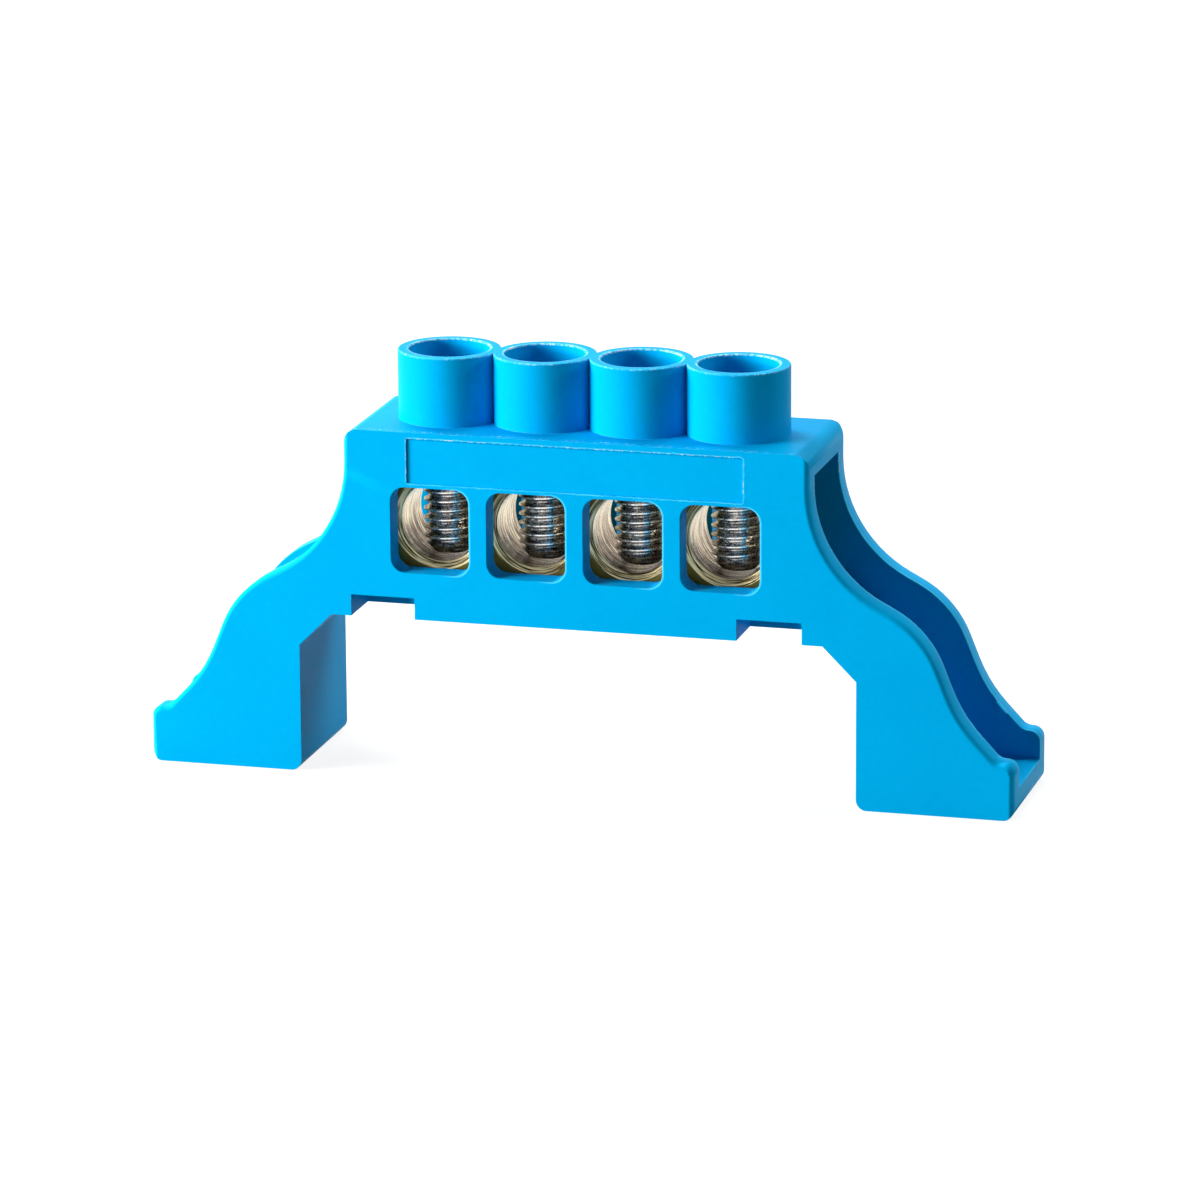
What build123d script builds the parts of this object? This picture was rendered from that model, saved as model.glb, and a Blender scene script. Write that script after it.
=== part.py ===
"""Neutral terminal bar: a cross-drilled brass bar with clamping screws, in a moulded bridge housing on two feet.

Millimetres. +X runs along the bar, the front face looks towards -Y, +Z is up.
The origin is the centre of the rectangle that the feet stand in.
"""

from build123d import *
from math import sqrt
import os

# Terminals
TERMINAL_COUNT = 4
TERMINAL_PITCH = 9.0

# Brass bar, seated on the floor of the housing's pocket
BAR_DEPTH = 7.4
BAR_HEIGHT = 11.5
BAR_END_MARGIN = 5.2        # from the last wire hole's axis to the end of the bar
BAR_EDGE_CHAMFER = 0.3
WIRE_HOLE = 7.6
WIRE_HOLE_CHAMFER = 0.65
WIRE_AXIS_HEIGHT = 5.0      # above the bar's underside

# Terminal screws, M5, driven in until their heads sit on the bar
SCREW_THREAD = 5.0
SCREW_LENGTH = 9.9          # under the head
SCREW_TIP_CHAMFER = 0.9
SCREW_HEAD = 6.8
SCREW_HEAD_HEIGHT = 3.2
SCREW_SLOT = 1.1
SCREW_SLOT_DEPTH = 1.7
THREAD_CLEARANCE = 0.05     # radial, between screw and tapped hole

# Bridge: underside, legs and feet
UNDERSIDE = 15.0            # height of the bridge's underside above the feet
UNDERSIDE_CHAMFER = 3.1     # where the underside meets the inner side of a leg
LEG_GAP = 52.0              # clear length between the two legs
FOOT_LENGTH = 14.4
FOOT_FLOOR = 2.5
LEG_WEB = 2.4               # closed inner side of a leg
FOOT_CORNER = 1.0
FIXING_HOLE = 4.3
FIXING_INSET = 6.0          # from the outer end of the foot to the hole's axis

# Body
BODY_DEPTH = 14.0
BODY_LENGTH = 43.2
WALL = 2.4                  # front and back walls
TOP_PLATE = 2.4
TOP_CORNER = 1.4
BAR_CLEARANCE = 0.1
RAIL_HEIGHT = 0.6           # guide rails that hold the bar off the walls
RAIL_END_GAP = 0.3          # the rails stop this far inside the bar's ends

# Outer line of a leg: corners of the line, then the bend at each corner
HIP_INSET = 8.25            # insets are measured from the outer end of the foot
HIP_HEIGHT = 16.6
SHOULDER_RISE = 5.5         # from the hip up to the corner on the body's side
KNEE_INSET = 5.1
KNEE_HEIGHT = 8.85
TOE_INSET = 1.6
TOE_HEIGHT = 5.15
SHOULDER_BEND = 11.8
HIP_BEND = 9.5
KNEE_BEND = 13.0
TOE_BEND = 1.2
TOE_ROUND = 1.0
SIDE_CHAMFER = 0.5          # on the outer edges of both walls

# Collars around the screw heads
COLLAR_OUTER = 9.4
COLLAR_BORE = 7.4
COLLAR_HEIGHT = 6.4

# Windows for the wires, in both walls
WINDOW_LENGTH = 7.35
WINDOW_HEIGHT = 7.95
WINDOW_CORNER = 1.35
WINDOW_DROP = 0.1           # centre of the window below the wire hole's axis

# Label recess in the front face
LABEL_LENGTH = 31.2
LABEL_HEIGHT = 4.1
LABEL_DEPTH = 0.2
LABEL_EDGE = 0.6            # from the top face down to the recess

# Recesses cut up into the underside, from the front and from the back
RECESS_LENGTH = 6.0
RECESS_HEIGHT = 2.0
RECESS_ROOF = 1.4           # material left between a recess and the bar's pocket
TAB_LENGTH = 30.0           # flat stretch between the two recesses of a side
SPINE = 3.7                 # middle rib between front and back recesses

# Gate marks on the inner edges of two walls
GATE_HEIGHT = 7.2
GATE_RADIUS = 0.7
GATE_DEPTH = 0.4

# How far a cutting or bevelled shape runs past the solid that it works on
OVERRUN = 3.0

# Places that follow from the sizes above
FOOT_END = LEG_GAP / 2 + FOOT_LENGTH
BAR_SEAT = UNDERSIDE + RECESS_HEIGHT + RECESS_ROOF
BAR_TOP = BAR_SEAT + BAR_HEIGHT
POCKET_TOP = BAR_TOP + BAR_CLEARANCE
BODY_TOP = POCKET_TOP + TOP_PLATE
COLLAR_TOP = BODY_TOP + COLLAR_HEIGHT
WIRE_AXIS = BAR_SEAT + WIRE_AXIS_HEIGHT
BAR_LENGTH = (TERMINAL_COUNT - 1) * TERMINAL_PITCH + 2 * BAR_END_MARGIN
CAVITY_DEPTH = BODY_DEPTH - 2 * WALL
TERMINAL_X = [(n - (TERMINAL_COUNT - 1) / 2) * TERMINAL_PITCH for n in range(TERMINAL_COUNT)]


def both_sides(half):
    """A half on the +X side together with its mirror image."""
    return half + mirror(half, about=Plane.YZ)


def through(face, depth):
    """A face drawn from the front, given a depth that runs evenly to both sides of the middle."""
    return extrude(face, amount=depth / 2, both=True)


def leg_line(top, bottom):
    """Outer line of a leg, from a height on the body's side to a height on the foot's end."""
    body_side = BODY_LENGTH / 2
    return FilletPolyline(
        (body_side, top),
        (body_side, HIP_HEIGHT + SHOULDER_RISE),
        (FOOT_END - HIP_INSET, HIP_HEIGHT),
        (FOOT_END - KNEE_INSET, KNEE_HEIGHT),
        (FOOT_END - TOE_INSET, TOE_HEIGHT),
        (FOOT_END, TOE_HEIGHT),
        (FOOT_END, bottom),
        radius=[SHOULDER_BEND, HIP_BEND, KNEE_BEND, TOE_BEND, TOE_ROUND],
    )


def bridge_block():
    """Half of the housing as a solid block: body, S-curved leg and the chamfered gap below."""
    inner = LEG_GAP / 2
    rest = Polyline(
        (FOOT_END, 0),
        (inner, 0),
        (inner, UNDERSIDE - UNDERSIDE_CHAMFER),
        (inner - UNDERSIDE_CHAMFER, UNDERSIDE),
        (0, UNDERSIDE),
        (0, BODY_TOP),
        (BODY_LENGTH / 2, BODY_TOP),
    )
    face = make_face(Plane.XZ * (leg_line(BODY_TOP, 0) + rest))
    face = fillet(face.vertices().group_by(Axis.Z)[0], FOOT_CORNER)
    face = fillet(face.vertices().group_by(Axis.Z)[-1].sort_by(Axis.X)[-1], TOP_CORNER)
    return through(face, BODY_DEPTH)


def bevelled_side():
    """A taller block with the same leg line, its outer edges bevelled front and back."""
    high = BODY_TOP + OVERRUN
    low = -OVERRUN
    rest = Polyline((FOOT_END, low), (-OVERRUN, low), (-OVERRUN, high), (BODY_LENGTH / 2, high))
    block = through(make_face(Plane.XZ * (leg_line(high, low) + rest)), BODY_DEPTH)
    outline = block.faces().filter_by(Axis.Y).edges()
    side = outline.filter_by(lambda edge: edge.center().X > BODY_LENGTH / 3)
    return chamfer(side.filter_by(lambda edge: low < edge.center().Z < high), SIDE_CHAMFER)


def cavity():
    """Half of the space inside: pocket over the bridge, then the well down to the foot's floor."""
    web = LEG_GAP / 2 + LEG_WEB
    slope = LEG_GAP / 2 + UNDERSIDE - UNDERSIDE_CHAMFER + LEG_WEB * sqrt(2)
    outside = FOOT_END + OVERRUN
    line = Polyline(
        (0, BAR_SEAT),
        (slope - BAR_SEAT, BAR_SEAT),
        (web, slope - web),
        (web, FOOT_FLOOR),
        (outside, FOOT_FLOOR),
        (outside, POCKET_TOP),
        (0, POCKET_TOP),
        close=True,
    )
    return through(make_face(Plane.XZ * line), CAVITY_DEPTH)


def guide_rails():
    """Four rails along the pocket that keep the bar's lower and upper edges off the walls."""
    width = (CAVITY_DEPTH - BAR_DEPTH) / 2 - BAR_CLEARANCE
    rail = Box(BAR_LENGTH - 2 * RAIL_END_GAP, width, RAIL_HEIGHT)
    away = (CAVITY_DEPTH - width) / 2
    heights = (BAR_SEAT + RAIL_HEIGHT / 2, POCKET_TOP - RAIL_HEIGHT / 2)
    return [Pos(0, side * away, height) * rail for side in (-1, 1) for height in heights]


def upright(diameter, low, high, x=0.0):
    """A round column from one height to another."""
    return Pos(x, 0, low) * extrude(Circle(diameter / 2), high - low)


def windows():
    """Rounded openings through both walls, one at each wire hole."""
    outline = Plane.XZ * RectangleRounded(WINDOW_LENGTH, WINDOW_HEIGHT, WINDOW_CORNER)
    window = through(outline, BODY_DEPTH)
    return [Pos(x, 0, WIRE_AXIS - WINDOW_DROP) * window for x in TERMINAL_X]


def label_recess():
    """Shallow rounded rectangle in the front face, just below the top."""
    outline = Plane.XZ * Rectangle(LABEL_LENGTH, LABEL_HEIGHT)
    recess = extrude(outline, amount=-LABEL_DEPTH)
    return Pos(0, -BODY_DEPTH / 2, BODY_TOP - LABEL_EDGE - LABEL_HEIGHT / 2) * recess


def underside_recesses():
    """Four recesses cut up into the underside, beside the middle tab, with a spine between them."""
    run = (BODY_DEPTH - SPINE) / 2
    block = Box(RECESS_LENGTH, run, RECESS_HEIGHT)
    x = (TAB_LENGTH + RECESS_LENGTH) / 2
    y = (BODY_DEPTH - run) / 2
    z = UNDERSIDE + RECESS_HEIGHT / 2
    return [Pos(side * x, face * y, z) * block for side in (-1, 1) for face in (-1, 1)]


def gate_marks(leg):
    """Nubs left by the moulding gates, inside the rim of the back wall on +X and the front wall on -X."""
    level = Edge.make_line((0, 0, GATE_HEIGHT), (FOOT_END, 0, GATE_HEIGHT))
    spot = (Plane.XZ * leg_line(BODY_TOP, 0)).intersect(level)[0]
    nub = Pos(spot.X, CAVITY_DEPTH / 2, spot.Z) * (Plane.XZ * Cylinder(GATE_RADIUS, 2 * GATE_DEPTH))
    nub &= leg
    return [nub, Rot(0, 0, 180) * nub]


def housing():
    """One moulding: a bridge on two open legs, with a pocket for the bar and a collar at each terminal."""
    half = bridge_block() & bevelled_side()
    shell = both_sides(half)
    shell -= both_sides(cavity())
    shell += guide_rails()
    shell += gate_marks(half)
    shell += [upright(COLLAR_OUTER, POCKET_TOP, COLLAR_TOP, x) for x in TERMINAL_X]
    shell -= [upright(COLLAR_BORE, POCKET_TOP, COLLAR_TOP, x) for x in TERMINAL_X]
    shell -= windows()
    shell -= label_recess()
    shell -= underside_recesses()
    fixing = FOOT_END - FIXING_INSET
    shell -= [upright(FIXING_HOLE, 0, FOOT_FLOOR, x) for x in (-fixing, fixing)]
    return shell


def terminal_bar():
    """Brass bar with a wire hole through it at each terminal and a tapped hole down into it."""
    bar = Box(BAR_LENGTH, BAR_DEPTH, BAR_HEIGHT)
    bar = chamfer(bar.edges().filter_by(Axis.X, reverse=True), BAR_EDGE_CHAMFER)
    bar = Pos(0, 0, BAR_SEAT + BAR_HEIGHT / 2) * bar
    wire = through(Plane.XZ * Circle(WIRE_HOLE / 2), BAR_DEPTH)
    mouth = Plane.XZ.offset(BAR_DEPTH / 2 - WIRE_HOLE_CHAMFER) * Circle(WIRE_HOLE / 2)
    flare = extrude(mouth, amount=WIRE_HOLE_CHAMFER, taper=-45)
    wire += [flare, mirror(flare, about=Plane.XZ)]
    bar -= [Pos(x, 0, WIRE_AXIS) * wire for x in TERMINAL_X]
    tapped = SCREW_THREAD + 2 * THREAD_CLEARANCE
    bar -= [upright(tapped, WIRE_AXIS, BAR_TOP, x) for x in TERMINAL_X]
    return bar


def terminal_screw(x):
    """Slotted screw whose head sits on the bar, with a chamfered tip that clamps the wire."""
    radius = SCREW_THREAD / 2
    head = SCREW_HEAD / 2
    profile = Polyline(
        (0, -SCREW_LENGTH),
        (radius - SCREW_TIP_CHAMFER, -SCREW_LENGTH),
        (radius, SCREW_TIP_CHAMFER - SCREW_LENGTH),
        (radius, 0),
        (head, 0),
        (head, SCREW_HEAD_HEIGHT),
        (0, SCREW_HEAD_HEIGHT),
        close=True,
    )
    screw = revolve(make_face(Plane.XZ * profile), Axis.Z)
    slot = Pos(0, 0, SCREW_HEAD_HEIGHT - SCREW_SLOT_DEPTH / 2) * Box(SCREW_HEAD, SCREW_SLOT, SCREW_SLOT_DEPTH)
    return Pos(x, 0, BAR_TOP) * (screw - slot)


def main():
    os.makedirs("parts", exist_ok=True)
    pieces = {"housing": housing(), "terminal_bar": terminal_bar()}
    for number, x in enumerate(TERMINAL_X, start=1):
        pieces[f"terminal_screw_{number}"] = terminal_screw(x)
    for name, piece in pieces.items():
        piece.label = name
        export_step(piece, f"parts/{name}.step")
        print(name, "volume", round(piece.volume, 1), "size", piece.bounding_box().size)


main()
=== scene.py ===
# %% [markdown]
# # Neutral terminal bar
#
# A neutral terminal bar joins the neutral wires of a small distribution board. A brass bar is drilled crossways
# for the wires, and a screw comes down on each of them. A blue moulding holds the bar on two feet.
# The frame brings the moulding, the bar and the four screws at their real size, in metres. This lesson gives
# them their finished edges, a real thread, their materials, the light and the camera.

# %% The frame
import math

import bmesh
import bpy
from mathutils import Matrix, Vector


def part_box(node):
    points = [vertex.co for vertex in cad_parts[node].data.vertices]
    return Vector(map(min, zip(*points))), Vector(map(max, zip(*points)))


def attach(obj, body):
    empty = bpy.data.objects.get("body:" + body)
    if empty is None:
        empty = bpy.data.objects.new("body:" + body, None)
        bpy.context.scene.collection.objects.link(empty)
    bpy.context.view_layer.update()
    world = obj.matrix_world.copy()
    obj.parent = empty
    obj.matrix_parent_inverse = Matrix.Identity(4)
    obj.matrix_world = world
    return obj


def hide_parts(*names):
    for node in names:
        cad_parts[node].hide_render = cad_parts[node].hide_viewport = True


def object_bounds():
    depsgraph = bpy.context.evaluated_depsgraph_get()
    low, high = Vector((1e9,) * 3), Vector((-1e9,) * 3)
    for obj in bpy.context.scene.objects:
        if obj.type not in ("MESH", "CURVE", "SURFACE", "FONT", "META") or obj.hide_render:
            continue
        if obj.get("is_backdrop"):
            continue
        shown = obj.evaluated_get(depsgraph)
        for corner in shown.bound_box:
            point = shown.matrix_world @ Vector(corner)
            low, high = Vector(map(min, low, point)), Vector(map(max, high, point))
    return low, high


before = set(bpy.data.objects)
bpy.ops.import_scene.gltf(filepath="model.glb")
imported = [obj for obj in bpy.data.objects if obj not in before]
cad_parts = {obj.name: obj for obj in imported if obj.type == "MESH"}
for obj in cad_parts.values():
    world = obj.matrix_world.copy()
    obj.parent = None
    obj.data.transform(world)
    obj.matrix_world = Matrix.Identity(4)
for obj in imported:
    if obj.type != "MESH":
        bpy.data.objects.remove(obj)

cad_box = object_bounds()
print("pieces in the frame:", sorted(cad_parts))

# %% [markdown]
# Sizes are easier to read in millimetres, and colours as the hex values of a paint card. Blender wants metres
# and linear light, so two small helpers turn one into the other. A size with no unit beside it is in millimetres.

# %% Units and colours
MM = 0.001


def millimetres(*values):
    """A place or size in millimetres, as a vector in metres."""
    return Vector(values) * MM


def linear(hex_colour):
    """An sRGB hex colour such as 00AEEF as the linear colour that shaders use."""
    shares = [int(hex_colour[i:i + 2], 16) / 255 for i in (0, 2, 4)]
    return [s / 12.92 if s <= 0.04045 else ((s + 0.055) / 1.055) ** 2.4 for s in shares] + [1.0]


print("half grey, 808080, as linear light:", round(linear("808080")[0], 3))

# %% [markdown]
# Modelling tools act on whatever is selected. So each step starts from nothing selected and takes one piece. Edges
# are picked in edit mode by a rule, as one would click them by hand.

# %% Picking pieces and edges
def take(piece):
    """Selects one piece alone and makes it the active one."""
    bpy.ops.object.select_all(action="DESELECT")
    piece.select_set(True)
    bpy.context.view_layer.objects.active = piece


def apply_modifier(piece, kind, **settings):
    """Adds a modifier with its settings and applies it."""
    take(piece)
    bpy.ops.object.modifier_add(type=kind)
    modifier = piece.modifiers[-1]
    for name, value in settings.items():
        setattr(modifier, name, value)
    bpy.ops.object.modifier_apply(modifier=modifier.name)


def pick_edges(piece, wanted):
    """Selects the edges of a piece in edit mode for which a rule holds, and counts them."""
    bpy.ops.mesh.select_mode(type="EDGE")
    bpy.ops.mesh.select_all(action="DESELECT")
    mesh = bmesh.from_edit_mesh(piece.data)
    mesh.normal_update()
    picked = [edge for edge in mesh.edges if len(edge.link_faces) == 2 and wanted(edge)]
    for edge in picked:
        edge.select_set(True)
    bmesh.update_edit_mesh(piece.data)
    return len(picked)


def turn(edge):
    """The angle in degrees by which the surface turns at an edge."""
    return math.degrees(edge.calc_face_angle())


def both_ends(edge, inside):
    """True if both ends of an edge lie where a rule on a place in millimetres says."""
    return all(inside(*(vertex.co / MM)) for vertex in edge.verts)


# %% [markdown]
# A copy of a frame piece is made of loose triangles. Merging its doubles closes it, and dissolving flat stretches
# turns the triangles back into whole faces, on which a bevel runs cleanly.

# %% A clean copy of a frame piece
def merge_doubles(distance):
    """Merges the points of the piece in edit mode that lie closer than a distance, and leaves all selected."""
    bpy.ops.mesh.select_all(action="SELECT")
    bpy.ops.mesh.remove_doubles(threshold=distance * MM)
    bpy.ops.mesh.select_all(action="SELECT")


def clean_copy(node_name, piece_name):
    """A closed copy of a frame piece with whole flat faces."""
    piece = bpy.data.objects.new(piece_name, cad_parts[node_name].data.copy())
    bpy.context.collection.objects.link(piece)
    piece.data.materials.clear()
    take(piece)
    bpy.ops.mesh.customdata_custom_splitnormals_clear()
    bpy.ops.object.mode_set(mode="EDIT")
    merge_doubles(0.001)
    bpy.ops.mesh.dissolve_limited(angle_limit=math.radians(0.5))
    bpy.ops.object.mode_set(mode="OBJECT")
    print(piece_name, "has", len(piece.data.polygons), "clean faces")
    return piece


def smooth(piece, angle):
    """Rounds the shading over gentle turns, and keeps flat faces flat beside them."""
    take(piece)
    bpy.ops.object.shade_smooth_by_angle(angle=math.radians(angle))
    apply_modifier(piece, "WEIGHTED_NORMAL", keep_sharp=True, weight=90)


# %% [markdown]
# The housing is one moulding. Its outer edges are softly rounded, so that wires slide over them. The frame has a
# flat slant there, half a millimetre wide each way, between a large flat face and the side. Smooth shading over
# both edges of the slant, weighted towards the large faces, turns its light evenly from one to the other, as a
# round does, and leaves the shape of the outline alone.
# The housing has two finishes, one for its faces and one for its edges, which are painted a little paler as a
# highlight. Their material slots are kept free here, because the bevel that follows puts its own faces into the second
# slot.

# %% The moulded housing
moulding = clean_copy("housing", "moulded_housing")
FACES, EDGE_HIGHLIGHT = 0, 1                # material slots
moulding.data.materials.append(None)
moulding.data.materials.append(None)
print("material slots of the housing:", len(moulding.data.materials))

# %% [markdown]
# All other edges are as sharp as a mould leaves them, a radius of about a tenth of a millimetre. Even that small
# radius matters: it is the thin bright line that a real edge shows. A bevel is only as wide as the shortest edge
# beside it allows, so the edges are bevelled group by group, and one tight corner doesn't narrow them all. The groups
# go by their place, measured from the middle of the piece at the floor, as the frame has it.

# %% The mould-sharp edges
TERMINAL_PITCH = 9.0                    # from one screw to the next
ROW_HALF = 2 * TERMINAL_PITCH           # half the length of the row of four terminals
FRONT = -7.0                            # the front face, the back face is at 7.0
COLLAR_TOP = 38.8
WINDOW_MIDDLE, WINDOW_HALF_HEIGHT = 23.3, 3.975
LABEL_MIDDLE, LABEL_HALF_LENGTH, LABEL_HALF_HEIGHT, LABEL_DEPTH = 29.75, 15.67, 2.13, 0.2
WALL_INNER_FACE = 4.6                   # from the middle plane to the inside of the leg walls
LEGS_BEGIN = 20.0                       # from the middle, outwards
CLOSE = 0.1                             # an edge this close to a place belongs to it
SHARP_TURN = 55                         # degrees, gentler turns are left to the smooth shading
KEEP = -1                               # the bevel keeps the finish of the faces beside it


def in_window_frame(x, y, z):
    """True on the edges of the windows, in front and behind."""
    return (abs(x) < ROW_HALF and abs(y) > -FRONT - CLOSE
            and abs(z - WINDOW_MIDDLE) < WINDOW_HALF_HEIGHT + CLOSE)


def in_label_frame(x, y, z):
    """True on the edges of the label recess, outer ones and inner ones."""
    return (abs(x) < LABEL_HALF_LENGTH + CLOSE and y < FRONT + LABEL_DEPTH + CLOSE
            and abs(z - LABEL_MIDDLE) < LABEL_HALF_HEIGHT + CLOSE)


def in_leg_wall(x, y, z):
    """True on the inner edges of the leg walls."""
    return abs(x) > LEGS_BEGIN and abs(abs(y) - WALL_INNER_FACE) < CLOSE


EDGE_GROUPS = {                         # width, steps, finish, where
    "collar rims": (0.14, 2, EDGE_HIGHLIGHT, lambda x, y, z: z > COLLAR_TOP - CLOSE),
    "window frames": (0.04, 2, KEEP, in_window_frame),
    "label frame": (0.05, 2, KEEP, in_label_frame),
    "leg walls": (0.12, 2, EDGE_HIGHLIGHT, in_leg_wall),
    "the rest": (0.10, 2, EDGE_HIGHLIGHT, lambda x, y, z: True),
}
bpy.ops.object.mode_set(mode="EDIT")
for group, (width, steps, finish, inside) in EDGE_GROUPS.items():
    found = pick_edges(moulding, lambda edge: turn(edge) > SHARP_TURN and both_ends(edge, inside))
    print(group, "edges:", found)
    bpy.ops.mesh.bevel(offset=width * MM, segments=steps, clamp_overlap=True, material=finish)
bpy.ops.object.mode_set(mode="OBJECT")
smooth(moulding, angle=50)
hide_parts("housing")
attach(moulding, "housing")
print("moulded_housing:", len(moulding.data.polygons), "faces")

# %% [markdown]
# The terminal bar is cut from drawn brass stock, milled flat and drilled crossways. Its edges are sharp from the
# cutter, and the housing hides nearly all of them, so they get no bevel. The holes and their countersinks come with
# the frame, and only their shading is made round here.

# %% The brass bar
bar = clean_copy("terminal_bar", "drilled_bar")
smooth(bar, angle=35)
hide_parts("terminal_bar")
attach(bar, "housing")


# %% [markdown]
# Each terminal screw is about five millimetres thick and has a slotted round head. Its thread could be painted on
# as a bump, but the flank of the thread is seen against the bright wire hole, so its teeth are modelled. One tooth
# is drawn as a line, and the next cell carries it round and up. The flat root is as wide as the pitch leaves it.

# %% The outline of one thread tooth
THREAD_PITCH = 0.85
CREST_RADIUS = 2.49
TOOTH_DEPTH = 0.56
CREST_FLAT = THREAD_PITCH / 8
FLANK_RISE = TOOTH_DEPTH * math.tan(math.radians(30))
ROOT_FLAT = THREAD_PITCH - CREST_FLAT - 2 * FLANK_RISE
THREAD_STEPS = 48                       # faces round one turn


def profile_line(name, start, steps):
    """A line of edges in the XZ plane: one point, then an extrusion for each step in millimetres."""
    bpy.ops.object.select_all(action="DESELECT")
    bpy.ops.mesh.primitive_plane_add(size=1 * MM, location=(0, 0, 0))
    line = bpy.context.object
    line.name = name
    bpy.ops.object.mode_set(mode="EDIT")
    bpy.ops.mesh.select_mode(type="VERT")
    bpy.ops.mesh.select_all(action="SELECT")
    bpy.ops.mesh.merge(type="CENTER")
    bpy.ops.transform.translate(value=millimetres(start[0], 0, start[1]))
    for along, up in steps:
        bpy.ops.mesh.extrude_region_move(TRANSFORM_OT_translate={"value": millimetres(along, 0, up)})
    bpy.ops.object.mode_set(mode="OBJECT")
    return line


tooth = [(0, ROOT_FLAT), (TOOTH_DEPTH, FLANK_RISE), (0, CREST_FLAT), (-TOOTH_DEPTH, FLANK_RISE)]
print("one tooth:", [(round(along, 3), round(up, 3)) for along, up in tooth])

# %% [markdown]
# On the real screw the thread is rolled between two dies. Here the Screw modifier sweeps the tooth. The sweep is
# made too long at both ends, and is then cut level at the tip and inside the head.

# %% The thread
HEAD_HEIGHT = 3.2
THREAD_INTO_HEAD = 0.4                  # the thread reaches this far up into the head
PITCHES_BELOW_TIP = 1.5                 # the sweep begins this far below the tip
SPARE_TURNS = 3

screw_low, screw_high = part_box("terminal_screw_1")
tip_height = screw_low.z / MM
head_top = screw_high.z / MM
head_base = head_top - HEAD_HEIGHT
shank_length = head_base - tip_height
thread_turns = math.ceil(shank_length / THREAD_PITCH) + SPARE_TURNS


def face_outwards():
    """Turns all faces of the piece in edit mode outwards, and leaves edit mode."""
    bpy.ops.mesh.select_all(action="SELECT")
    bpy.ops.mesh.normals_make_consistent(inside=False)
    bpy.ops.object.mode_set(mode="OBJECT")


thread = profile_line("thread", (CREST_RADIUS - TOOTH_DEPTH, tip_height - PITCHES_BELOW_TIP * THREAD_PITCH), tooth)
apply_modifier(thread, "SCREW", axis="Z", screw_offset=THREAD_PITCH * MM, iterations=thread_turns,
               steps=THREAD_STEPS, render_steps=THREAD_STEPS, use_merge_vertices=True)
bpy.ops.object.mode_set(mode="EDIT")
for height, upwards in ((tip_height, -1), (head_base + THREAD_INTO_HEAD, 1)):
    merge_doubles(0.002)
    bpy.ops.mesh.bisect(plane_co=millimetres(0, 0, height), plane_no=(0, 0, upwards),
                        use_fill=True, clear_outer=True, threshold=0.001 * MM)
face_outwards()
print("thread:", thread_turns, "turns swept for a shank of", round(shank_length, 2), "mm,",
      len(thread.data.polygons), "faces")

# %% [markdown]
# The blank is a line turned once round the axis: flat tip, chamfer, shank, then the head with its chamfered rim.
# What the thread and the blank share is the threaded shank, so the tip comes out as a lathe leaves it, with the
# thread running out in the chamfer. The driver slot is cut out of the head with a long thin block.

# %% The turned blank
TIP_CHAMFER = 0.9
HEAD_RADIUS = 3.4
HEAD_CHAMFER = 0.35
SLOT_WIDTH = 1.1
SLOT_DEPTH = 1.7
SHANK_INTO_HEAD = 0.3                   # the blank reaches this far up into the head


def turned(name, start, steps):
    """A solid turned from a profile line whose ends lie on the Z axis."""
    blank = profile_line(name, start, steps)
    take(blank)
    bpy.ops.object.mode_set(mode="EDIT")
    bpy.ops.mesh.select_all(action="SELECT")
    bpy.ops.mesh.spin(steps=THREAD_STEPS, angle=2 * math.pi, center=(0, 0, 0), axis=(0, 0, 1))
    merge_doubles(0.002)
    face_outwards()
    print(name, "has", len(blank.data.polygons), "faces")
    return blank


shank = turned("shank", (0, tip_height), [
    (CREST_RADIUS - TIP_CHAMFER, 0), (TIP_CHAMFER, TIP_CHAMFER),
    (0, shank_length - TIP_CHAMFER + SHANK_INTO_HEAD), (-CREST_RADIUS, 0)])
head = turned("head", (0, head_base), [
    (HEAD_RADIUS, 0), (0, HEAD_HEIGHT - HEAD_CHAMFER), (-HEAD_CHAMFER, HEAD_CHAMFER),
    (HEAD_CHAMFER - HEAD_RADIUS, 0)])
bpy.ops.object.select_all(action="DESELECT")
bpy.ops.mesh.primitive_cube_add(size=1, location=millimetres(0, 0, head_top),
                                scale=millimetres(3 * HEAD_RADIUS, SLOT_WIDTH, 2 * SLOT_DEPTH))
slot_block = bpy.context.object

# %% [markdown]
# Three booleans join the parts to one solid. They can leave slivers a few thousandths of a millimetre long, and
# merging those keeps the mesh closed.

# %% One whole screw
apply_modifier(thread, "BOOLEAN", operation="INTERSECT", object=shank, solver="EXACT")
apply_modifier(head, "BOOLEAN", operation="DIFFERENCE", object=slot_block, solver="EXACT")
apply_modifier(thread, "BOOLEAN", operation="UNION", object=head, solver="EXACT")
for helper in (shank, head, slot_block):
    bpy.data.objects.remove(helper)
take(thread)
bpy.ops.object.mode_set(mode="EDIT")
merge_doubles(0.003)
bpy.ops.object.mode_set(mode="OBJECT")
smooth(thread, angle=40)
print("one screw has", len(thread.data.polygons), "faces and is",
      [round(size / MM, 2) for size in thread.dimensions], "mm")

# %% [markdown]
# One screw is made in the middle of the bar, and four copies of it go to their places. Each copy has a mesh of its
# own, because each screw rides on a body of its own and moves alone.

# %% The four screws
screws = []
for number in range(1, 5):
    node_name = f"terminal_screw_{number}"
    low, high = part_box(node_name)
    middle = (low.x + high.x) / 2
    screw = bpy.data.objects.new(f"threaded_screw_{number}", thread.data.copy())
    bpy.context.collection.objects.link(screw)
    screw.data.transform(Matrix.Translation(Vector((middle, 0, 0))))
    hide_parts(node_name)
    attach(screw, node_name)
    screws.append(screw)
    print(screw.name, "stands", round(middle / MM, 2), "mm from the middle of the bar")
bpy.data.objects.remove(thread)

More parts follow.
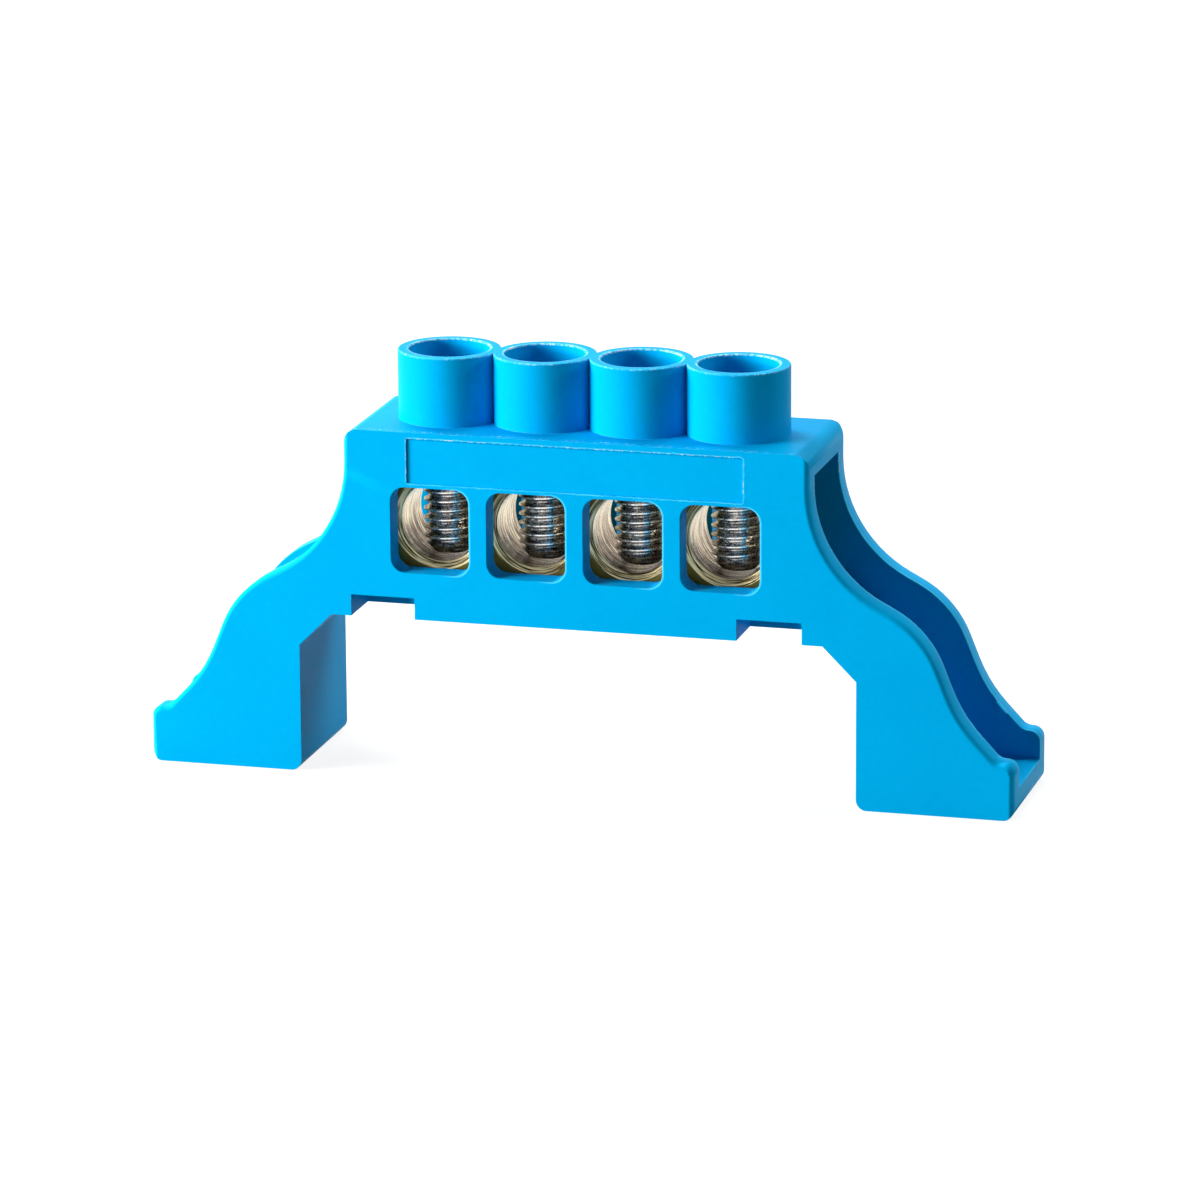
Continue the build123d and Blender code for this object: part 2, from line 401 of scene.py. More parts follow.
# %% [markdown]
# The shaders are built from nodes. One helper adds a node with its settings and links, so that a material reads
# from top to bottom like a recipe. A pattern's scale is worked out from its real size: Object coordinates are in
# metres, so a pattern of 0.3 mm has a scale of 1 / 0.0003.

# %% Adding a node
def add(tree, kind, inputs=None, **settings):
    """Adds a shader node with its settings. An input is filled by a link from another node's output, or by a value."""
    node = tree.nodes.new("ShaderNode" + kind)
    for name, value in settings.items():
        setattr(node, name, value)
    for name, value in (inputs or {}).items():
        if isinstance(value, bpy.types.NodeSocket):
            tree.links.new(value, node.inputs[name])
        else:
            node.inputs[name].default_value = value
    return node


def new_material(name):
    """An empty material, its node tree, and the place on the piece in metres."""
    material = bpy.data.materials.new(name)
    material.use_nodes = True
    material.node_tree.nodes.clear()
    tree = material.node_tree
    return material, tree, add(tree, "TexCoord").outputs["Object"]


def every(size):
    """The texture scale of a pattern whose parts are this many millimetres apart."""
    return 1 / (size * MM)


print("scale of a pattern of 0.3 mm:", round(every(0.3)))

# %% [markdown]
# Where the halves of a mould meet, a trace of plastic creeps into the gap and stays on the part as flash: a thin,
# pale, ragged fringe. On the real piece it stands round the label recess, on the inner edge of each collar's rim and
# along the inner edges of the open legs, with some specks along the top edge. Its paleness is partly painted
# highlight, the light that a raised edge catches. The windows have a painted highlight on their right edge. Each of
# these lines is drawn by its distance from the edge, and a little noise is added to the distance, so that the line
# wanders.

# %% A line beside an edge
def near(tree, distance, wander, half_width, soft):
    """1 on a line where a distance is zero, fading to 0 beside it. Half width and soft rim are in millimetres."""
    moved = add(tree, "Math", {0: distance, 1: wander}, operation="ADD")
    away = add(tree, "Math", {0: moved.outputs[0]}, operation="ABSOLUTE")
    return add(tree, "MapRange", {"Value": away.outputs[0], "From Min": half_width * MM,
                                  "From Max": (half_width + soft) * MM, "To Min": 1.0, "To Max": 0.0}).outputs[0]


def only_where(tree, line, value, limit, operation):
    """Keeps a line where a value is greater or less than a limit in millimetres."""
    here = add(tree, "Math", {0: value, 1: limit * MM}, operation=operation)
    return add(tree, "Math", {0: line, 1: here.outputs[0]}, operation="MULTIPLY").outputs[0]


# %% [markdown]
# The label recess and the windows are rectangles with round corners. The distance to such an outline is taken to
# the smaller rectangle through the middles of the corner rounds, and the radius of the corners is taken off it.
# Windows, collars and screws repeat with the pitch of the terminals, so a sideways place that is wrapped at each
# pitch serves all four at once.

# %% Distances on the piece
def off_outline(tree, across, upwards, half_length, half_height, corner):
    """How far a place is outside an outline with round corners, from its distances to the two middle lines."""
    over_x = add(tree, "Math", {0: across, 1: (half_length - corner) * MM}, operation="SUBTRACT")
    over_x = add(tree, "Math", {0: over_x.outputs[0], 1: 0.0}, operation="MAXIMUM")
    over_z = add(tree, "Math", {0: upwards, 1: (half_height - corner) * MM}, operation="SUBTRACT")
    over_z = add(tree, "Math", {0: over_z.outputs[0], 1: 0.0}, operation="MAXIMUM")
    corner_way = add(tree, "CombineXYZ", {"X": over_x.outputs[0], "Y": over_z.outputs[0]})
    radius = add(tree, "VectorMath", {0: corner_way.outputs[0]}, operation="LENGTH")
    return add(tree, "Math", {0: radius.outputs["Value"], 1: corner * MM}, operation="SUBTRACT").outputs[0]


def beside_terminal(tree, axes):
    """The sideways distance from the middle of the nearest terminal, negative on its left."""
    beside = add(tree, "Math", {0: axes["X"], 1: TERMINAL_PITCH * MM, 2: 0.0}, operation="WRAP")
    return add(tree, "Math", {0: beside.outputs[0], 1: TERMINAL_PITCH / 2 * MM}, operation="SUBTRACT").outputs[0]


def off_terminal_axis(tree, axes):
    """The distance from the upright axis of the nearest terminal, which is that of its collar and screw."""
    flat = add(tree, "CombineXYZ", {"X": beside_terminal(tree, axes), "Y": axes["Y"]})
    return add(tree, "VectorMath", {0: flat.outputs[0]}, operation="LENGTH").outputs["Value"]


def height_from(tree, axes, level):
    """The upright distance from a level in millimetres."""
    above = add(tree, "Math", {0: axes["Z"], 1: level * MM}, operation="SUBTRACT")
    return add(tree, "Math", {0: above.outputs[0]}, operation="ABSOLUTE").outputs[0]


# %% [markdown]
# On the front face the flash frames the label recess. The windows are made by a slide of the mould. Their right edges
# get a painted highlight, the light that a rounded edge facing the key lamp catches, and that line fades in from the
# middle of each window.

# %% Lines on the front face
LABEL_CORNER = 0.3
WINDOW_HALF_LENGTH, WINDOW_CORNER = 3.675, 1.35
FADE_FROM, FADE_TO = 1.0, 3.3           # the painted window highlight grows between these, right of a window's middle


def label_line(tree, axes, wander):
    """The flash round the label recess, on the front face, drawn pale as a painted highlight."""
    across = add(tree, "Math", {0: axes["X"]}, operation="ABSOLUTE").outputs[0]
    away = off_outline(tree, across, height_from(tree, axes, LABEL_MIDDLE), LABEL_HALF_LENGTH, LABEL_HALF_HEIGHT,
                       LABEL_CORNER)
    line = near(tree, away, wander, half_width=0.015, soft=0.07)
    return only_where(tree, line, axes["Y"], FRONT + 0.02, "LESS_THAN")


def painted_window_highlight(tree, axes, wander):
    """A painted highlight on the right edge of each window. It wanders a fifth as much as the flash."""
    beside = beside_terminal(tree, axes)
    across = add(tree, "Math", {0: beside}, operation="ABSOLUTE").outputs[0]
    away = off_outline(tree, across, height_from(tree, axes, WINDOW_MIDDLE), WINDOW_HALF_LENGTH, WINDOW_HALF_HEIGHT,
                       WINDOW_CORNER)
    calm = add(tree, "Math", {0: wander, 1: 0.2}, operation="MULTIPLY").outputs[0]
    line = near(tree, away, calm, half_width=0.11, soft=0.06)
    line = only_where(tree, line, axes["Y"], FRONT + 0.08, "LESS_THAN")
    right_share = add(tree, "MapRange", {"Value": beside, "From Min": FADE_FROM * MM,
                                         "From Max": FADE_TO * MM}).outputs[0]
    line = add(tree, "Math", {0: line, 1: right_share}, operation="MULTIPLY").outputs[0]
    outwards = add(tree, "Math", {0: axes["X"]}, operation="ABSOLUTE").outputs[0]
    return only_where(tree, line, outwards, ROW_HALF, "LESS_THAN")


# %% [markdown]
# On top the flash sits where the pins that form the screw bores met the mould, on the inner edge of each rim. Along
# the top edge of the body only specks of it are left. Both are drawn pale as painted highlights.

# %% Lines on the collars and the top edge
COLLAR_BORE_RADIUS = 3.7
BODY_TOP = 32.4
TOP_EDGE_DEPTH = 6.5                    # from the middle plane to the top edge, inside its slant


def rim_line(tree, axes, wander):
    """The flash on the inner edge of each collar's rim, drawn pale as a painted highlight."""
    off_bore = add(tree, "Math", {0: off_terminal_axis(tree, axes), 1: (COLLAR_BORE_RADIUS + 0.08) * MM},
                   operation="SUBTRACT")
    line = near(tree, off_bore.outputs[0], wander, half_width=0.09, soft=0.06)
    return only_where(tree, line, axes["Z"], COLLAR_TOP - 0.15, "GREATER_THAN")


def top_line(tree, axes, wander):
    """The line along the top edge of the front, on which the specks of flash and painted glint lie."""
    off_edge = add(tree, "Math", {0: axes["Y"], 1: TOP_EDGE_DEPTH * MM}, operation="ADD")
    line = near(tree, off_edge.outputs[0], wander, half_width=0.02, soft=0.06)
    return only_where(tree, line, height_from(tree, axes, BODY_TOP), 0.1, "LESS_THAN")


# %% [markdown]
# The legs are open to the top and to the ends, and the flash runs along the inner edges of their walls, drawn pale as
# a painted highlight. It doesn't go on inside: below the underside of the body it only lies beyond the inner face of
# each leg.

# %% Lines on the leg walls
BODY_END = 21.0                         # the line begins this far from the middle
LEG_FACE, UNDERSIDE = 26.0, 15.0        # the inner face of a leg, and where it begins
FOOT_FLOOR, CEILING = 2.5, 30.0         # the line runs between these heights


def wall_line(tree, axes, wander):
    """The flash along the inner edges of the leg walls, drawn pale as a painted highlight. It wanders a third as much
    as the rest.
    """
    depth = add(tree, "Math", {0: axes["Y"]}, operation="ABSOLUTE")
    off_wall = add(tree, "Math", {0: depth.outputs[0], 1: (WALL_INNER_FACE + 0.16) * MM}, operation="SUBTRACT")
    calm = add(tree, "Math", {0: wander, 1: 0.3}, operation="MULTIPLY")
    line = near(tree, off_wall.outputs[0], calm.outputs[0], half_width=0.06, soft=0.10)
    line = only_where(tree, line, depth.outputs[0], WALL_INNER_FACE + 0.02, "GREATER_THAN")
    line = only_where(tree, line, axes["Z"], FOOT_FLOOR, "GREATER_THAN")
    line = only_where(tree, line, axes["Z"], CEILING, "LESS_THAN")
    outwards = add(tree, "Math", {0: axes["X"]}, operation="ABSOLUTE").outputs[0]
    line = only_where(tree, line, outwards, BODY_END, "GREATER_THAN")
    past_leg = add(tree, "Math", {0: outwards, 1: LEG_FACE * MM}, operation="SUBTRACT").outputs[0]
    over_leg = add(tree, "Math", {0: axes["Z"], 1: UNDERSIDE * MM}, operation="SUBTRACT").outputs[0]
    past_or_over = add(tree, "Math", {0: past_leg, 1: over_leg}, operation="MAXIMUM").outputs[0]
    return only_where(tree, line, past_or_over, 0.5, "GREATER_THAN")


# %% [markdown]
# The lines together make the fringe, partly flash and partly painted highlight. It grows strong and weak along its
# way, and up on the collars and the top edge it is torn into crumbs that are nearly white, painted glints on the
# flash. On a bevelled edge it is a little pale everywhere, with or without flash, a painted highlight on the edge.

# %% The fringe of flash and painted highlight
CRUMB_SIZE = 0.3
RUN_LENGTH = 2.0                        # between a strong and a weak stretch
WANDER = 0.16                           # how far a line strays to either side
TORN_ABOVE = 28.0


def flash_and_painted_highlight(tree, place, least):
    """How much of a place is pale fringe, partly flash and partly painted highlight, at least a given share, and the
    colour of the fringe there.
    """
    axes = add(tree, "SeparateXYZ", {"Vector": place}).outputs
    crumbs = add(tree, "TexNoise", {"Vector": place, "Scale": every(CRUMB_SIZE), "Detail": 2.0, "Roughness": 0.7})
    runs = add(tree, "TexNoise", {"Vector": place, "Scale": every(RUN_LENGTH), "Detail": 2.0})
    strong = add(tree, "MapRange", {"Value": runs.outputs["Fac"], "From Min": 0.35, "From Max": 0.65,
                                    "To Min": 0.3, "To Max": 0.95}).outputs[0]
    wander = add(tree, "MapRange", {"Value": crumbs.outputs["Fac"], "To Min": -WANDER * MM,
                                    "To Max": WANDER * MM}).outputs[0]
    rim = rim_line(tree, axes, wander)
    ragged = add(tree, "Math", {0: rim, 1: 0.06, 2: crumbs.outputs["Fac"]}, operation="MULTIPLY_ADD").outputs[0]
    # Painted glints: the ragged crumbs on the collar rims and the top edge are turned nearly white.
    burr_glint = add(tree, "MapRange", {"Value": ragged, "From Min": 0.52, "From Max": 0.60}).outputs[0]
    burr_glint = only_where(tree, burr_glint, axes["Z"], TORN_ABOVE, "GREATER_THAN")
    specks = add(tree, "Math", {0: top_line(tree, axes, wander), 1: burr_glint}, operation="MULTIPLY").outputs[0]
    fringe = least
    for line in (rim, specks, label_line(tree, axes, wander), wall_line(tree, axes, wander)):
        fringe = add(tree, "Math", {0: fringe, 1: line}, operation="MAXIMUM").outputs[0]
    fringe = add(tree, "Math", {0: fringe, 1: strong}, operation="MULTIPLY").outputs[0]
    fringe = add(tree, "Math", {0: fringe, 1: painted_window_highlight(tree, axes, wander)}, operation="MAXIMUM").outputs[0]
    # The pale fringe colour, near white at the glints, is partly flash and partly painted highlight.
    pale = add(tree, "Mix", {"Factor": burr_glint, "A": linear("4CD2FF"), "B": linear("E4FBFF")}, data_type="RGBA")
    return fringe, pale.outputs["Result"]


# %% [markdown]
# The housing is polyamide, moulded in bright blue. Straight from the mould it is smooth but not glossy: a very
# fine grain scatters the light, and the flow of the plastic leaves soft clouds that are a shade lighter or darker.
# At normal incidence such a saturated plastic reflects hardly any red, so its specular tint is blue.

# %% Moulded polyamide
def moulded_polyamide(name, least_fringe):
    """Blue moulded polyamide, with a thin pale fringe where the mould's halves meet, partly flash and partly painted
    highlight.
    """
    material, tree, place = new_material(name)
    clouds = add(tree, "TexNoise", {"Vector": place, "Scale": every(9), "Detail": 2.0, "Roughness": 0.5})
    mottle = add(tree, "TexNoise", {"Vector": place, "Scale": every(0.7), "Detail": 4.0, "Roughness": 0.6})
    grain = add(tree, "TexNoise", {"Vector": place, "Scale": every(0.22), "Detail": 2.0, "Roughness": 0.6})
    both = add(tree, "Math", {0: clouds.outputs["Fac"], 1: mottle.outputs["Fac"]}, operation="ADD")
    shade = add(tree, "MapRange", {"Value": both.outputs[0], "From Min": 0.7, "From Max": 1.3})
    blue = add(tree, "Mix", {"Factor": shade.outputs[0], "A": linear("00A6E2"), "B": linear("00ADE8")},
               data_type="RGBA").outputs["Result"]
    fringe, pale = flash_and_painted_highlight(tree, place, least_fringe)
    colour = add(tree, "Mix", {"Factor": fringe, "A": blue, "B": pale}, data_type="RGBA").outputs["Result"]
    rough = add(tree, "MapRange", {"Value": mottle.outputs["Fac"], "From Min": 0.3, "From Max": 0.7,
                                   "To Min": 0.42, "To Max": 0.52})
    height = add(tree, "Bump", {"Height": grain.outputs["Fac"], "Strength": 0.25, "Distance": 0.02 * MM})
    shader = add(tree, "BsdfPrincipled", {
        "Base Color": colour,
        "Roughness": rough.outputs[0],
        "Specular IOR Level": 0.035,
        "Specular Tint": linear("00A0FF"),
        "Normal": height.outputs["Normal"],
    })
    add(tree, "OutputMaterial", {"Surface": shader.outputs["BSDF"]})
    print(name, "has", len(tree.nodes), "nodes")
    return material


moulding.data.materials[FACES] = moulded_polyamide("moulded_polyamide", least_fringe=0.0)
# The bevelled edges are painted at least this pale everywhere, a painted highlight.
moulding.data.materials[EDGE_HIGHLIGHT] = moulded_polyamide("polyamide_edge", least_fringe=0.4)

# %% [markdown]
# The bar is free-cutting brass. Its flat faces come from the saw and the mill: the cutter leaves fine slanting
# scratches, which scatter the light along one way. Their colour is a dark olive, painted shade, with a few stains.

# %% Milled brass
def milled_brass():
    """Brass with fine slanting tool marks, coloured dark olive as painted shade."""
    material, tree, place = new_material("milled_brass")
    slant = add(tree, "Mapping", {"Vector": place, "Rotation": (0, math.radians(35), 0),
                                  "Scale": (every(0.12), every(3.0), every(2.2))})
    marks = add(tree, "TexNoise", {"Vector": slant.outputs[0], "Scale": 1.0, "Detail": 3.0, "Roughness": 0.6})
    stains = add(tree, "TexNoise", {"Vector": place, "Scale": every(2.5), "Detail": 3.0})
    # Painted shade: the faces are coloured dark olive, with random stains between two tones.
    colour = add(tree, "Mix", {"Factor": stains.outputs["Fac"], "A": linear("5E5428"), "B": linear("A0904E")},
                 data_type="RGBA")
    rough = add(tree, "MapRange", {"Value": marks.outputs["Fac"], "To Min": 0.28, "To Max": 0.5})
    height = add(tree, "Bump", {"Height": marks.outputs["Fac"], "Strength": 0.5, "Distance": 0.02 * MM})
    shader = add(tree, "BsdfPrincipled", {"Base Color": colour.outputs["Result"], "Metallic": 1.0,
                                          "Roughness": rough.outputs[0], "Normal": height.outputs["Normal"]})
    add(tree, "OutputMaterial", {"Surface": shader.outputs["BSDF"]})
    print("milled_brass has", len(tree.nodes), "nodes")
    return material


bar.data.materials.append(milled_brass())

# %% [markdown]
# The wire holes are drilled. The drill leaves rings, which follow one another along the hole, and the colour goes from
# straw to brown in random patches. Towards the bottom of the hole the rings are deeper, and the colour is painted
# darker and browner there as shade. The countersink at the mouth is cut with a finer tool, so its rings are narrow,
# dull and sharply light and dark.

# %% Drilled brass
SHADE_FROM, SHADE_TO = 26.0, 21.5         # the painted shade grows from the upper height to the lower one
MOUTH = -3.0                            # the countersink lies in front of this depth


def drilled_brass():
    """Brass with the rings of a drill, painted darker towards the bottom of the hole as shade, and with finer rings in
    the countersink.
    """
    material, tree, place = new_material("drilled_brass")
    axes = add(tree, "SeparateXYZ", {"Vector": place}).outputs
    along = add(tree, "Mapping", {"Vector": place, "Scale": (every(4.0), every(0.20), every(4.0))})
    rings = add(tree, "TexNoise", {"Vector": along.outputs[0], "Scale": 1.0, "Detail": 3.0, "Roughness": 0.65})
    # Painted shade: low_down grows towards the bottom of the hole, where the colour turns darker and browner and the
    # rings' bump deepens.
    low_down = add(tree, "MapRange", {"Value": axes["Z"], "From Min": SHADE_FROM * MM, "From Max": SHADE_TO * MM,
                                      "To Min": 0.08, "To Max": 1.0})

    broad = add(tree, "Mapping", {"Vector": place, "Scale": (every(2.5), every(0.6), every(2.5))})
    tint = add(tree, "TexNoise", {"Vector": broad.outputs[0], "Scale": 1.0, "Detail": 2.0, "Roughness": 0.6})
    brown_patches = add(tree, "MapRange", {"Value": tint.outputs["Fac"], "From Min": 0.35, "From Max": 0.65})
    painted_shade_brown = add(tree, "Math", {0: brown_patches.outputs[0], 1: low_down.outputs[0]}, operation="MULTIPLY")
    straw = add(tree, "Mix", {"Factor": painted_shade_brown.outputs[0], "A": linear("FFEFC8"), "B": linear("8E6646")},
                data_type="RGBA").outputs["Result"]
    dark_rings = add(tree, "MapRange", {"Value": rings.outputs["Fac"], "From Min": 0.46, "From Max": 0.58})
    painted_shade_rings = add(tree, "Math", {0: dark_rings.outputs[0], 1: low_down.outputs[0]}, operation="MULTIPLY")
    hole_colour = add(tree, "Mix", {"Factor": painted_shade_rings.outputs[0], "A": straw, "B": linear("3A281E")},
                      data_type="RGBA").outputs["Result"]

    narrow = add(tree, "Mapping", {"Vector": place, "Scale": (every(3.0), every(0.09), every(3.0))})
    fine_rings = add(tree, "TexNoise", {"Vector": narrow.outputs[0], "Scale": 1.0, "Detail": 2.0, "Roughness": 0.6})
    bright = add(tree, "MapRange", {"Value": fine_rings.outputs["Fac"], "From Min": 0.42, "From Max": 0.62})
    mouth_colour = add(tree, "Mix", {"Factor": bright.outputs[0], "A": linear("4A3E22"), "B": linear("F4E2B0")},
                       data_type="RGBA").outputs["Result"]
    in_mouth = add(tree, "MapRange", {"Value": axes["Y"], "From Min": MOUTH * MM, "From Max": (MOUTH - 0.08) * MM})
    colour = add(tree, "Mix", {"Factor": in_mouth.outputs[0], "A": hole_colour, "B": mouth_colour}, data_type="RGBA")

    rough = add(tree, "MapRange", {"Value": rings.outputs["Fac"], "To Min": 0.12, "To Max": 0.32})
    rough = add(tree, "Math", {0: in_mouth.outputs[0], 1: 0.28, 2: rough.outputs[0]}, operation="MULTIPLY_ADD")
    depth = add(tree, "Math", {0: rings.outputs["Fac"], 1: low_down.outputs[0]}, operation="MULTIPLY")
    height = add(tree, "Bump", {"Height": depth.outputs[0], "Strength": 1.0, "Distance": 0.08 * MM})
    shader = add(tree, "BsdfPrincipled", {"Base Color": colour.outputs["Result"], "Metallic": 1.0,
                                          "Roughness": rough.outputs[0], "Normal": height.outputs["Normal"]})
    add(tree, "OutputMaterial", {"Surface": shader.outputs["BSDF"]})
    print("drilled_brass has", len(tree.nodes), "nodes")
    return material


bar.data.materials.append(drilled_brass())

# %% [markdown]
# The two kinds of brass meet at the holes. A face belongs to a hole if it lies within reach of the hole's axis and
# doesn't look along it. The end faces of the bar are left out, though they lie near the axis height too.

# %% The drilled faces
WIRE_AXIS = 23.4                        # the height of the wire holes' axes
DRILLED_REACH = 4.5                     # a little more than the radius of the countersink
LOOKS_ALONG = 0.9                       # from this share of its normal on, a face looks along the hole
ENDS_BEGIN = 18.2                       # from the middle of the bar, its end faces lie further out

for face in bar.data.polygons:
    middle = face.center / MM
    off_axis = math.hypot(middle.x % TERMINAL_PITCH - TERMINAL_PITCH / 2, middle.z - WIRE_AXIS)
    face.material_index = int(off_axis < DRILLED_REACH and abs(face.normal.y) < LOOKS_ALONG
                              and abs(middle.x) < ENDS_BEGIN)
print("drilled faces:", sum(face.material_index for face in bar.data.polygons))

# %% [markdown]
# The screws are cold-headed steel with a thin dark passivated coat. The coat is rubbed through to bare metal in small
# places, which glitter as short lines that follow the thread. The crests of the thread carry a painted highlight,
# broken light lines against the dark flanks. The heads are touched only by the driver and stay calmer.

# %% Coated steel
BAR_TOP = 29.9                          # the heads begin here
CREST_FROM, CREST_TO = 0.12, 0.03       # the painted highlight grows between these depths below the crest


def coated_steel():
    """Dark steel with a fine broken grain and spots of bare metal, and a painted highlight on the crests of the
    thread.
    """
    material, tree, place = new_material("coated_steel")
    axes = add(tree, "SeparateXYZ", {"Vector": place}).outputs
    grain = add(tree, "TexNoise", {"Vector": place, "Scale": every(0.16), "Detail": 3.0, "Roughness": 0.7})
    round_way = add(tree, "Mapping", {"Vector": place, "Scale": (every(1.2), every(1.2), every(0.1))})
    lines = add(tree, "TexNoise", {"Vector": round_way.outputs[0], "Scale": 1.0, "Detail": 2.0})
    mixed = add(tree, "Math", {0: grain.outputs["Fac"], 1: lines.outputs["Fac"]}, operation="ADD")
    wear_and_highlight = add(tree, "MapRange", {"Value": mixed.outputs[0], "From Min": 0.85, "From Max": 1.25})
    calm = add(tree, "MapRange", {"Value": axes["Z"], "From Min": BAR_TOP * MM,
                                  "From Max": (BAR_TOP + 0.1) * MM, "To Min": 1.0, "To Max": 0.35})
    wear_and_highlight = add(tree, "Math", {0: wear_and_highlight.outputs[0], 1: calm.outputs[0]}, operation="MULTIPLY")

    # Painted highlight: the crests of the thread below the heads are coloured bright, broken up by the grain.
    off_axis = off_terminal_axis(tree, axes)
    crest = add(tree, "MapRange", {"Value": off_axis, "From Min": (CREST_RADIUS - CREST_FROM) * MM,
                                   "From Max": (CREST_RADIUS - CREST_TO) * MM})
    crest = only_where(tree, crest.outputs[0], axes["Z"], BAR_TOP, "LESS_THAN")
    highlight_breaks = add(tree, "MapRange", {"Value": grain.outputs["Fac"], "From Min": 0.35, "From Max": 0.55,
                                     "To Min": 0.4, "To Max": 1.0})
    crest = add(tree, "Math", {0: crest, 1: highlight_breaks.outputs[0]}, operation="MULTIPLY")
    wear_and_highlight = add(tree, "Math", {0: wear_and_highlight.outputs[0], 1: crest.outputs[0]}, operation="MAXIMUM")

    # The bare spots and the painted crest highlight lift the dark coat towards near white.
    colour = add(tree, "Mix", {"Factor": wear_and_highlight.outputs[0], "A": linear("5A595B"), "B": linear("FFFDF8")},
                 data_type="RGBA")
    rough = add(tree, "MapRange", {"Value": grain.outputs["Fac"], "To Min": 0.16, "To Max": 0.40})
    height = add(tree, "Bump", {"Height": mixed.outputs[0], "Strength": 0.3, "Distance": 0.02 * MM})
    shader = add(tree, "BsdfPrincipled", {"Base Color": colour.outputs["Result"], "Metallic": 1.0,
                                          "Roughness": rough.outputs[0], "Normal": height.outputs["Normal"]})
    add(tree, "OutputMaterial", {"Surface": shader.outputs["BSDF"]})
    print("coated_steel has", len(tree.nodes), "nodes")
    return material


steel = coated_steel()
for screw in screws:
    screw.data.materials.clear()
    screw.data.materials.append(steel)

# %% [markdown]
# The floor is a wide pale plane. To the camera, and in reflections, it glows almost white by itself, and the light
# that falls on it does the rest. So the picture gets its white ground, the object keeps its shadow, and the glow
# itself lights nothing.

# %% The floor
FLOOR_SIZE = 12.0                       # metres
FLOOR_GREY = 0.22
FLOOR_GLOW = 0.88
WHITE = (1, 1, 1, 1)


def looked_at(tree):
    """1 where the camera, a mirror or a clear thing looks, and 0 for the light that falls on other things."""
    rays = add(tree, "LightPath").outputs
    seen = add(tree, "Math", {0: rays["Is Camera Ray"], 1: rays["Is Glossy Ray"]}, operation="MAXIMUM")
    return add(tree, "Math", {0: seen.outputs[0], 1: rays["Is Transmission Ray"]}, operation="MAXIMUM").outputs[0]


bpy.ops.object.select_all(action="DESELECT")
bpy.ops.mesh.primitive_plane_add(size=FLOOR_SIZE, location=(0, 0, 0))
floor = bpy.context.object
floor.name = "floor"
floor_material, tree, _ = new_material("pale_floor")
strength = add(tree, "Math", {0: looked_at(tree), 1: FLOOR_GLOW}, operation="MULTIPLY")
matt = add(tree, "BsdfDiffuse", {"Color": (FLOOR_GREY, FLOOR_GREY, FLOOR_GREY, 1.0)})
glow = add(tree, "Emission", {"Color": WHITE, "Strength": strength.outputs[0]})
lit = add(tree, "AddShader", {0: matt.outputs[0], 1: glow.outputs[0]})
add(tree, "OutputMaterial", {"Surface": lit.outputs[0]})
floor.data.materials.append(floor_material)
floor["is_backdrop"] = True
print("floor:", FLOOR_SIZE, "m wide, glow", FLOOR_GLOW)

# %% [markdown]
# The world is white where the camera, a mirror or a clear thing looks at it, and nearly dark as a source of light.
# So the ground of the picture is pure white, and the shading on the plastic comes from the lamps alone.

# %% The world
FILL = 0.02

world = bpy.data.worlds.new("studio")
bpy.context.scene.world = world
world.use_nodes = True
world.node_tree.nodes.clear()
tree = world.node_tree
strength = add(tree, "MapRange", {"Value": looked_at(tree), "To Min": FILL, "To Max": 1.0})
background = add(tree, "Background", {"Color": WHITE, "Strength": strength.outputs[0]})
add(tree, "OutputWorld", {"Surface": background.outputs[0]})
print("world: lights the piece at a level of", FILL)

# %% [markdown]
# Five round lamps light the piece, as in a small product studio. The key stands on the left, so that the front is
# lit at a slant and the collars run from bright to dark. The low lamp is small and gives the windows their edged
# shadow. The back and top lamps light the upper faces, and the rim lamp keeps the right side of the collars apart.
# Together they light the front face at a plain level, at which a colour comes out about as it is written.

# %% The lamps
TARGET = millimetres(0, 0, 18)          # the middle of the piece


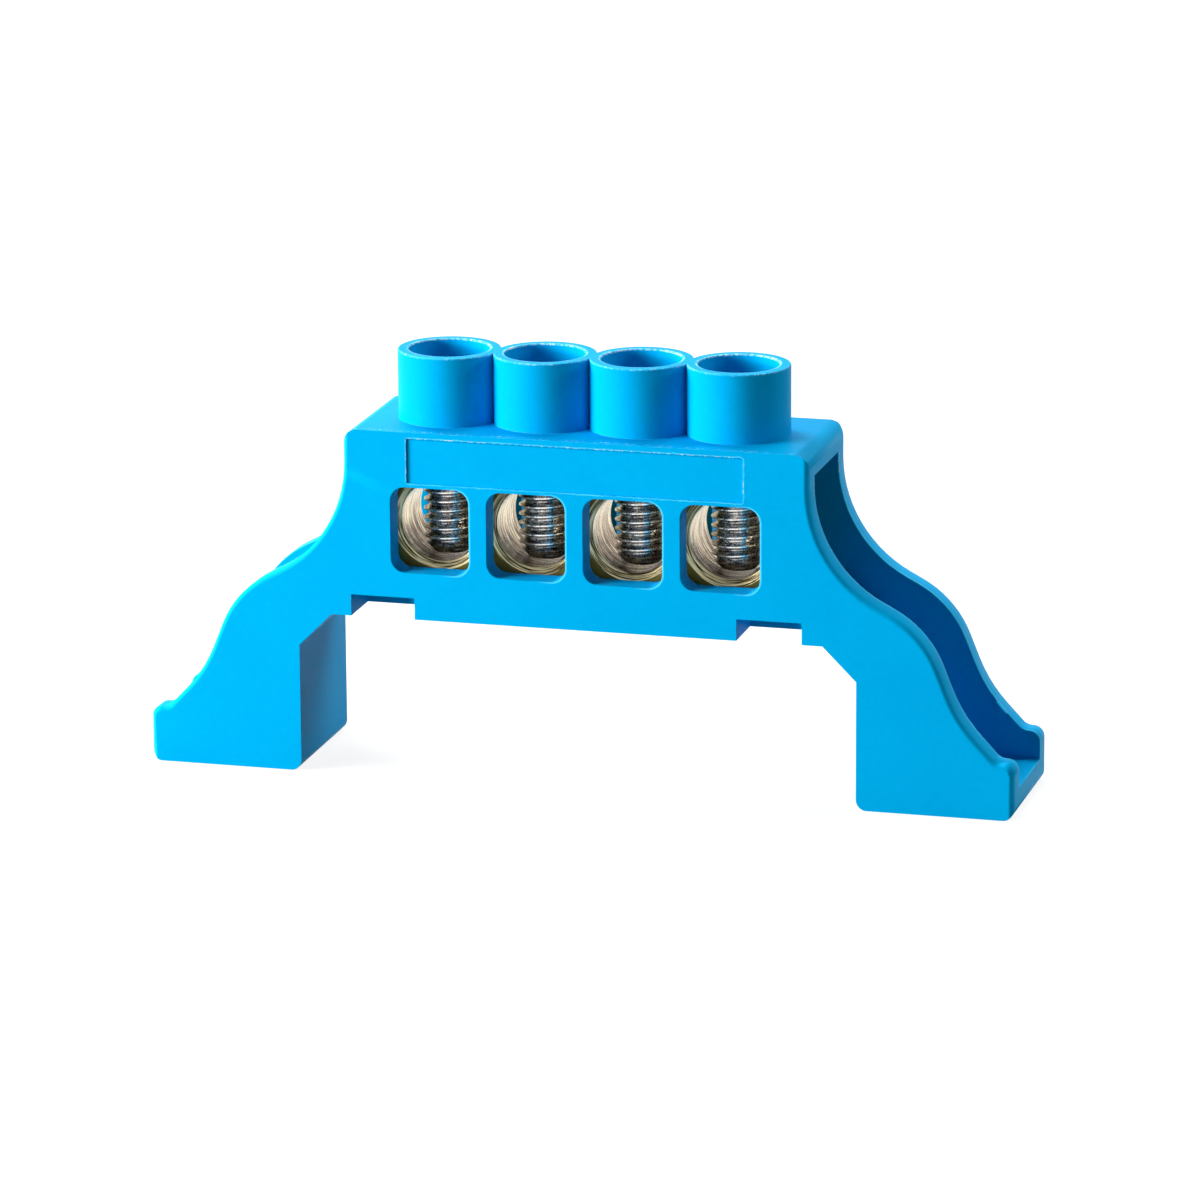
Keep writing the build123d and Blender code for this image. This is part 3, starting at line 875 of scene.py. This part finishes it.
def soft_light(name, azimuth, height, distance, size, level):
    """A round soft lamp. Azimuth 0 is in front and 90 on the right, level 1 lights a facing surface fully."""
    turn_by, up = math.radians(azimuth), math.radians(height)
    way = Vector((math.sin(turn_by) * math.cos(up), -math.cos(turn_by) * math.cos(up), math.sin(up)))
    bpy.ops.object.light_add(type="AREA", location=TARGET + way * distance * MM)
    lamp = bpy.context.object
    lamp.name = name
    lamp.data.shape = "DISK"
    lamp.data.size = size * MM
    lamp.data.energy = level * (math.pi * distance * MM) ** 2
    lamp.rotation_euler = way.to_track_quat("Z", "Y").to_euler()
    print(name, "power", round(lamp.data.energy, 2), "W")


soft_light("key_light", azimuth=-62, height=16, distance=520, size=240, level=1.74)
soft_light("low_light", azimuth=-40, height=8, distance=600, size=40, level=0.34)
soft_light("back_light", azimuth=-135, height=50, distance=600, size=260, level=0.70)
soft_light("top_light", azimuth=180, height=72, distance=600, size=260, level=0.42)
soft_light("rim_light", azimuth=110, height=22, distance=600, size=200, level=0.36)

# %% [markdown]
# The camera was found from the photo: the corners of the housing were marked there, and the place, the turn and the
# lens that bring the same corners of the part onto them were solved together. It stands to the right and above,
# far off with a long lens, and leans by a third of a degree.

# %% The camera
CAMERA_PLACE = millimetres(157.421, -570.216, 174.217)
YAW, PITCH, ROLL = math.radians(15.389), math.radians(-14.974), math.radians(-0.366)
LENS, SENSOR_WIDTH = 202.24, 36.0

forward = Vector((-math.sin(YAW) * math.cos(PITCH), math.cos(YAW) * math.cos(PITCH), math.sin(PITCH)))
sideways = Vector((math.cos(YAW), math.sin(YAW), 0))
upward = sideways.cross(forward)
right = sideways * math.cos(ROLL) + upward * math.sin(ROLL)
above = upward * math.cos(ROLL) - sideways * math.sin(ROLL)
bpy.ops.object.camera_add(location=CAMERA_PLACE)
camera = bpy.context.object
camera.name = "camera"
camera.matrix_world = Matrix.Translation(CAMERA_PLACE) @ Matrix((right, above, -forward)).transposed().to_4x4()
camera.data.lens = LENS
camera.data.sensor_width = SENSOR_WIDTH
camera.data.clip_start = 0.01           # metres
bpy.context.scene.camera = camera
print("camera:", round((CAMERA_PLACE - TARGET).length / MM), "mm from the middle of the piece")

# %% [markdown]
# The standard view shows colours as they are. The outline box of the finished model is printed beside the box of the
# frame. The finish may not grow the piece.

# %% Picture settings
bpy.context.scene.view_settings.view_transform = "Standard"

sizes = {"cad_box": [list(corner) for corner in cad_box], "visual_box": [list(corner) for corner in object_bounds()]}
for name, corners in sizes.items():
    print(name, [[round(value / MM, 3) for value in corner] for corner in corners], "mm")
